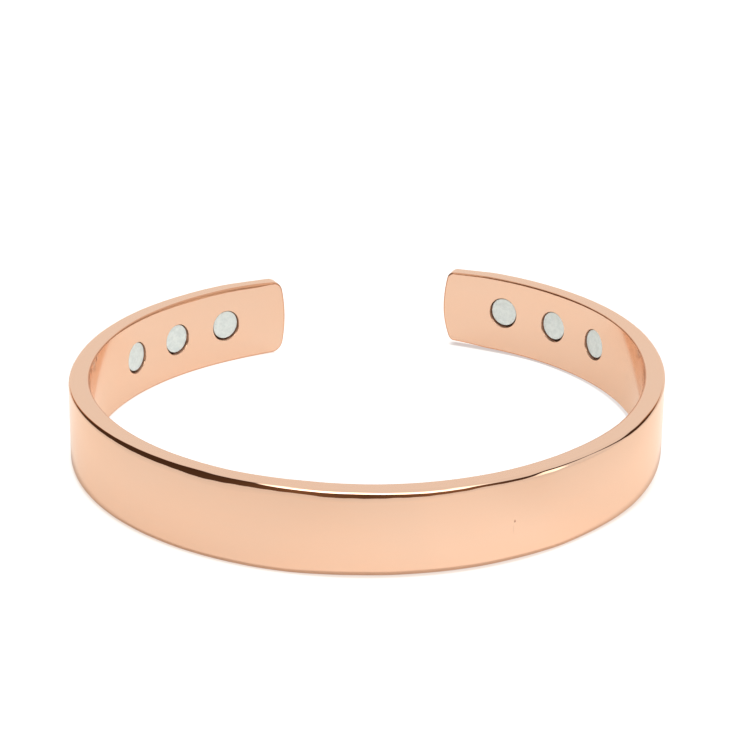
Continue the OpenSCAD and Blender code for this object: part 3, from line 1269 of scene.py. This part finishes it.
@dataclass
class Magnet:
    """One disc magnet with softly rounded rims and a grainy face.

    Each of its grains is how far apart the knots of the random heights lie, and its share.
    """

    node: str
    path: BarPath
    seed: int
    radius: float = 1.7
    thickness: float = 1.1
    rim: float = 0.12
    spokes: int = 144
    rings: int = 24
    rim_steps: int = 4
    wall_steps: int = 3
    relief: float = 0.014
    grains: Rows = ((0.9, 0.5), (0.38, 0.6), (0.2, 0.5))
    slope_reach: float = 0.01

    def centre(self) -> Array:
        """Middle of the magnet, from its CAD solid, in millimetres."""
        low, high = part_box(self.node)
        return np.array((low + high) / 2) / MM

    def _grain(self, u: Array, w: Array) -> Array:
        """Height of the grainy plating over the face.

        Args:
            u: Places across the face.
            w: Places up the face.

        Returns:
            Heights between about -1 and 1.
        """
        rng = np.random.RandomState(self.seed)
        total = np.zeros_like(u)
        for pitch, share in self.grains:
            size = int(4 * self.radius / pitch) + 4
            knots = rng.uniform(-1.0, 1.0, (size, size))
            x, y = u / pitch + size / 2, w / pitch + size / 2
            i, j = np.floor(x).astype(int), np.floor(y).astype(int)
            a, b = smooth_step(x - i), smooth_step(y - j)
            top = knots[i, j] * (1 - a) + knots[i + 1, j] * a
            low = knots[i, j + 1] * (1 - a) + knots[i + 1, j + 1] * a
            total += share * (top * (1 - b) + low * b)
        return total

    def _profile(self) -> list[tuple[float, float, float]]:
        """The disc's section from its face round the rims to its back.

        Returns:
            Rows of radius, depth from the disc's middle, and how far the normal leans from the face's.
        """
        flat = self.radius - self.rim
        half = self.thickness / 2
        wall = half - self.rim
        rows = [(flat * k / self.rings, -half, 0.0) for k in range(1, self.rings + 1)]
        leans = QUARTER_TURN * np.arange(1, self.rim_steps + 1) / self.rim_steps
        rows += [(flat + self.rim * math.sin(a), -wall - self.rim * math.cos(a), a) for a in leans]
        levels = wall * (2 * np.arange(1, self.wall_steps + 1) / self.wall_steps - 1)
        rows += [(self.radius, level, QUARTER_TURN) for level in levels]
        leans += QUARTER_TURN
        rows += [(flat + self.rim * math.sin(a), wall - self.rim * math.cos(a), a) for a in leans]
        return [*rows, (flat / 2, half, math.pi)]

    def make(self, finish: Material) -> Piece:
        """Builds the magnet.

        Args:
            finish: Its plating.

        Returns:
            The piece, riding on the root body in place of the CAD node.
        """
        centre = self.centre()
        length = self.path.nearest(centre)
        along, outward = self.path.directions(length)
        turn = FULL_TURN * np.arange(self.spokes) / self.spokes
        radial = np.cos(turn)[:, None] * along + np.sin(turn)[:, None] * UP
        shell = Shell()
        rings = []
        near = self.slope_reach
        for radius, depth, lean in self._profile():
            u, w = radius * np.cos(turn), radius * np.sin(turn)
            share = self.relief * max(0.0, math.cos(lean))
            height = share * self._grain(u, w)
            slope_u = share * (self._grain(u + near, w) - self._grain(u - near, w)) / (2 * near)
            slope_w = share * (self._grain(u, w + near) - self._grain(u, w - near)) / (2 * near)
            normal = -math.cos(lean) * outward + math.sin(lean) * radial
            normal = unit(normal - slope_u[:, None] * along - slope_w[:, None] * UP)
            spot = centre + u[:, None] * along + w[:, None] * UP + (depth - height)[:, None] * outward
            straight = np.column_stack([length + u, centre[2] + w, np.full_like(u, depth)])
            rings.append(shell.add(spot, normal, straight, min(1.0, lean)))
        shell.skin(np.stack(rings), Slot.MAIN, closed=True)
        for ring, way in ((rings[0], -1.0), (rings[-1], 1.0)):
            depth = way * self.thickness / 2
            middle = (centre + depth * outward, way * outward, np.array([length, centre[2], depth]))
            shell.cap(ring, middle, 0.0, Slot.MAIN)
        return shell.build(self.node + "_disc", [finish], self.node, "magnet")


@dataclass
class Studio:
    """White table, soft surrounding light and the camera.

    Rows of the dark side, the lamp and the window are angles round from the front, in degrees, and
    levels. Heights of the dark side are shares of a right angle. The runs of its edges, of the lamp
    and of the window are heights in degrees, and the deepening is a run of its depth.
    """

    table_lines: tuple[float, ...] = (60.0, 80.0, 120.0, 250.0, 600.0, 4000.0)
    table_near: float = 48.0
    target: tuple[float, float, float] = (-0.361, -3.372, 9.609)
    distance: float = 254.01
    azimuth: float = -11.339
    elevation: float = 21.293
    roll: float = 0.787
    lens: float = 114.475
    sensor: float = 36.0
    clip: tuple[float, float] = (0.005, 20.0)
    sky: Colour = (1.025, 1.02, 1.02)
    lamp: Colour = (4.8, 4.7, 4.4)
    window: Colour = (2.4, 2.4, 2.25)
    haze: Colour = (0.95, 0.50, 0.26)
    shade: Colour = (0.075, 0.040, 0.022)
    backdrop: Colour = (1.05, 1.05, 1.05)
    dark_edges: tuple[Run, Run] = ((-1.5, 1.5, 1.0, 0.0), (-1.0, 2.0, 0.0, 1.0))
    deepening: Run = (0.0, 0.5, 0.0, 1.0)
    lamp_runs: tuple[Run, Run] = ((0.0, 4.0, 0.0, 1.0), (15.0, 24.0, 1.0, 0.0))
    window_runs: tuple[Run, Run] = ((1.0, 5.0, 0.0, 1.0), (0.0, 3.0, 1.0, 0.0))
    dark_top: Rows = (
        (-180.0, 0.0), (-168.0, 0.0), (-156.0, 0.62), (-136.0, 0.66), (-115.0, 0.67), (-94.0, 0.69),
        (-77.0, 0.70), (-64.0, 0.56), (-56.0, 0.45), (-47.0, 0.36), (-35.0, 0.32), (-22.0, 0.37),
        (-9.0, 0.378), (4.0, 0.318), (17.0, 0.277), (30.0, 0.30), (38.0, 0.40), (46.0, 0.44), (55.0, 0.42),
        (62.0, 0.35), (71.0, 0.41), (80.0, 0.44), (86.0, 0.40), (92.0, 0.34), (100.0, 0.29), (106.0, 0.25),
        (115.0, 0.30), (125.0, 0.34), (136.0, 0.32), (150.0, 0.28), (158.0, 0.0), (180.0, 0.0),
    )
    dark_foot: Rows = (
        (-180.0, 0.0), (30.0, 0.0), (36.0, 0.07), (48.0, 0.03), (54.0, 0.07), (58.0, 0.12), (62.0, 0.21),
        (66.0, 0.26), (74.0, 0.28), (79.0, 0.26), (83.0, 0.25), (88.0, 0.27), (92.0, 0.26), (96.0, 0.16),
        (100.0, 0.05), (104.0, 0.0), (110.0, 0.03), (116.0, 0.04), (124.0, 0.08), (132.0, 0.15),
        (143.0, 0.15), (156.0, 0.0), (180.0, 0.0),
    )
    dark_depth: Rows = (
        (-180.0, 0.0), (-163.0, 0.0), (-146.0, 0.95), (-136.0, 1.0), (-94.0, 1.0), (-62.0, 0.97),
        (-47.0, 0.90), (-35.0, 0.81), (-22.0, 0.87), (-9.0, 0.93), (4.0, 0.87), (17.0, 0.78), (30.0, 0.78),
        (43.0, 0.92), (55.0, 1.0), (124.0, 1.0), (136.0, 0.5), (146.0, 0.0), (180.0, 0.0),
    )
    lamp_strength: Rows = (
        (-180.0, 0.0), (-94.0, 0.0), (-77.0, 0.05), (-62.0, 0.28), (-47.0, 0.68), (-35.0, 0.95),
        (-22.0, 1.0), (-9.0, 0.92), (4.0, 0.82), (17.0, 0.72), (30.0, 0.55), (43.0, 0.38), (55.0, 0.0),
        (180.0, 0.0),
    )
    window_strength: Rows = (
        (-180.0, 0.0), (56.0, 0.0), (60.0, 0.4), (64.0, 0.7), (69.0, 1.0), (72.0, 0.8), (75.0, 0.0),
        (180.0, 0.0),
    )

    def lay_table(self, path: BarPath) -> Piece:
        """Makes the white table that the bracelet lies on.

        Args:
            path: The bar's line, beside which the table's glow changes.

        Returns:
            The table.
        """
        middle = np.arange(-self.table_near, self.table_near + 1.0)
        line = np.concatenate([-np.array(self.table_lines[::-1]), middle, self.table_lines])
        x, y = (sheet.ravel() for sheet in np.meshgrid(line, line, indexing="ij"))
        numbers = np.arange(len(x)).reshape(len(line), len(line))
        cells = np.stack([numbers[:-1, :-1], numbers[1:, :-1], numbers[1:, 1:], numbers[:-1, 1:]], -1)
        mesh = bpy.data.meshes.new("table")
        corners = np.stack([x, y, np.zeros_like(x)], 1) * MM
        mesh.from_pydata(corners.tolist(), [], cells.reshape(-1, 4).tolist())
        for name, values in zip(("outward", "past"), path.beside(x, y)):
            add_numbers(mesh, name, values)
        mesh.materials.append(WhiteTable().make())
        table = bpy.data.objects.new("table", mesh)
        bpy.context.scene.collection.objects.link(table)
        return table

    def light_room(self) -> bpy.types.World:
        """Makes the light round the bracelet: a white room with a dark side and a long lamp."""
        world = bpy.data.worlds.new("studio")
        bpy.context.scene.world = world
        world.use_nodes = True
        nodes = Nodes(world.node_tree)
        x, y, z = nodes.value("TexCoord", output="Generated").split()
        height = z.math("ARCSINE") * math.degrees(1.0)
        side = x.math("ARCTAN2", y * -1.0) * math.degrees(1.0)
        above = height - side.table(self.dark_top) * RIGHT_ANGLE
        over = height - side.table(self.dark_foot) * RIGHT_ANGLE
        depth = side.table(self.dark_depth)
        dark = above.rise(*self.dark_edges[0]) * over.rise(*self.dark_edges[1]) * depth.rise(*self.deepening)
        lamp = above.rise(*self.lamp_runs[0]) * above.rise(*self.lamp_runs[1])
        lamp = lamp * side.table(self.lamp_strength)
        window = height.rise(*self.window_runs[0]) * over.rise(*self.window_runs[1])
        window = window * side.table(self.window_strength)
        on_paint = nodes.value("LightPath", output="Is Diffuse Ray")
        by_eye = nodes.value("LightPath", output="Is Camera Ray")
        colour = nodes.mix(lamp * (on_paint * -1.0 + 1.0), self.sky, self.lamp)
        colour = nodes.mix(window, colour, self.window)
        colour = nodes.mix(dark, colour, nodes.mix(depth, self.haze, self.shade))
        colour = nodes.mix(by_eye, colour, self.backdrop)
        nodes.finish("Background", {"Color": colour, "Strength": 1.0}, "OutputWorld")
        return world

    def place_camera(self) -> Piece:
        """Makes the camera at the photo's place, and returns it."""
        turn, rise, roll = (math.radians(v) for v in (self.azimuth, self.elevation, self.roll))
        back = Vector((math.sin(turn) * math.cos(rise), -math.cos(turn) * math.cos(rise), math.sin(rise)))
        right = (-back).cross(Vector(UP)).normalized()
        up = right.cross(-back)
        rolled_right = right * math.cos(roll) + up * math.sin(roll)
        rolled_up = up * math.cos(roll) - right * math.sin(roll)
        data = bpy.data.cameras.new("camera")
        data.lens = self.lens
        data.sensor_width = self.sensor
        data.clip_start, data.clip_end = self.clip
        camera = bpy.data.objects.new("camera", data)
        axes = Matrix((rolled_right, rolled_up, back)).transposed()
        place = (Vector(self.target) + back * self.distance) * MM
        camera.matrix_world = Matrix.Translation(place) @ axes.to_4x4()
        bpy.context.scene.collection.objects.link(camera)
        bpy.context.scene.camera = camera
        return camera


def main() -> None:
    """Builds the bracelet and its surroundings in order."""
    logging.basicConfig(level=logging.INFO, format="%(name)s: %(message)s")
    bpy.context.scene.view_settings.view_transform = "Standard"
    studio = Studio()
    studio.place_camera()
    path = BarPath()
    studio.lay_table(path)
    studio.light_room()
    silver = DULL_SILVER.make()
    pieces = []
    pockets = []
    for first_seed, hand, pocket_height in ((0, "left", 4.6), (10, "right", 4.95)):
        for count in (1, 2, 3):
            magnet = Magnet(f"magnet_{hand}_{count}", path, first_seed + count)
            pieces.append(magnet.make(silver))
            pockets.append(Pocket(magnet.node, path.nearest(magnet.centre()), pocket_height))
    cuff = Cuff(path, EdgeWear(path), Outline(path), pockets)
    pieces.append(cuff.make([PolishedCopper().make(), POCKET_PAINTED_SHADE.make()]))
    for piece in pieces:
        log.info("%s: %d faces", piece.name, len(piece.data.polygons))


if __name__ == "__main__":
    main()
